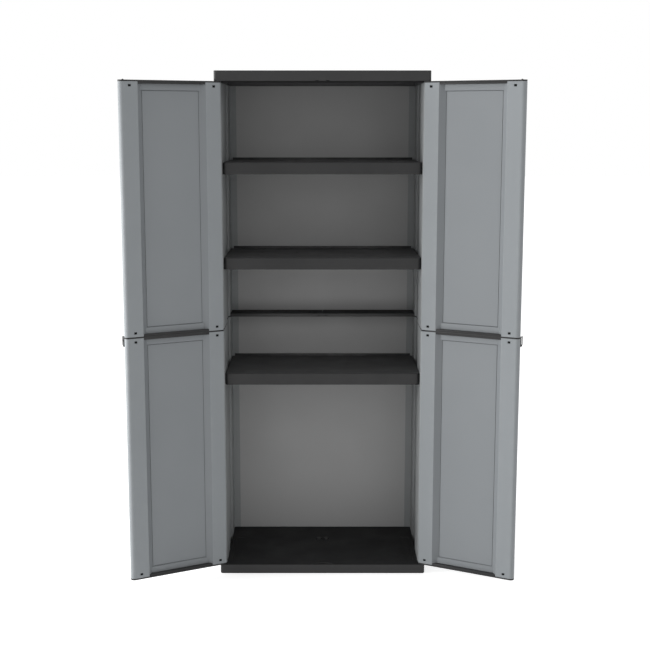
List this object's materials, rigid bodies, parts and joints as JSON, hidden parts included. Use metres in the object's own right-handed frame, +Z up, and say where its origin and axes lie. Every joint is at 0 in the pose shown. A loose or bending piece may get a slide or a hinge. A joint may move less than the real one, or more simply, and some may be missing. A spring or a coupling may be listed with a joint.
{
  "type": "garden storage cabinet",
  "caption": "Tall plastic garden cabinet with grey panels, black cap and base, hinged double doors, black lift-off shelves and a padlock plate and loop.",
  "frame": {"origin": "on the ground, under the middle of the base", "axes": "+X to the right of someone facing the open cabinet, +Y from the front to the back, +Z up"},
  "size_m": [1.2486, 0.5387, 1.635],
  "materials": {
    "door_panel": "fine satin grain",
    "side_panel": "fine satin grain",
    "back_sheet": "satin, extruded",
    "black_moulding": "fine satin grain",
    "shelf": "fine satin grain",
    "black_trim": "satin"
  },
  "bodies": {
    "cabinet": {"base_tray": "black_moulding", "top_cap": "black_moulding", "left_lower_side_panel": "side_panel", "left_upper_side_panel": "side_panel", "left_side_strip": "black_trim", "left_middle_hinge_pin": "black_trim", "left_rear_brace": "black_trim", "right_lower_side_panel": "side_panel", "right_upper_side_panel": "side_panel", "right_side_strip": "black_trim", "right_middle_hinge_pin": "black_trim", "right_rear_brace": "black_trim", "brace_joiner": "black_trim", "lower_back_sheet": "back_sheet", "upper_back_sheet": "back_sheet", "upper_shelf_pegs": "black_trim", "middle_shelf_pegs": "black_trim", "lower_shelf_pegs": "black_trim"},
    "left_door": {"left_lower_door_panel": "door_panel", "left_upper_door_panel": "door_panel", "left_door_bottom_strip": "black_trim", "left_door_middle_strip": "black_trim", "left_door_top_strip": "black_trim"},
    "right_door": {"right_lower_door_panel": "door_panel", "right_upper_door_panel": "door_panel", "right_door_bottom_strip": "black_trim", "right_door_middle_strip": "black_trim", "right_door_top_strip": "black_trim"},
    "upper_shelf": {"upper_shelf": "shelf"},
    "middle_shelf": {"middle_shelf": "shelf"},
    "lower_shelf": {"lower_shelf": "shelf"}
  },
  "joints": [
    {"name": "left_door_hinge", "type": "hinge", "parent": "cabinet", "child": "left_door", "pos_m": [-0.3255, -0.1835, 0.8], "axis": [0, 0, 1], "range_deg": [-27.8, 152.2]},
    {"name": "right_door_hinge", "type": "hinge", "parent": "cabinet", "child": "right_door", "pos_m": [0.3255, -0.1835, 0.8], "axis": [0, 0, 1], "range_deg": [-152.2, 27.8]},
    {"name": "upper_shelf_lift", "type": "slide", "parent": "cabinet", "child": "upper_shelf", "axis": [0, 0, 1], "range_m": [0, 0.03]},
    {"name": "middle_shelf_lift", "type": "slide", "parent": "cabinet", "child": "middle_shelf", "axis": [0, 0, 1], "range_m": [0, 0.03]},
    {"name": "lower_shelf_lift", "type": "slide", "parent": "cabinet", "child": "lower_shelf", "axis": [0, 0, 1], "range_m": [0, 0.03]}
  ]
}
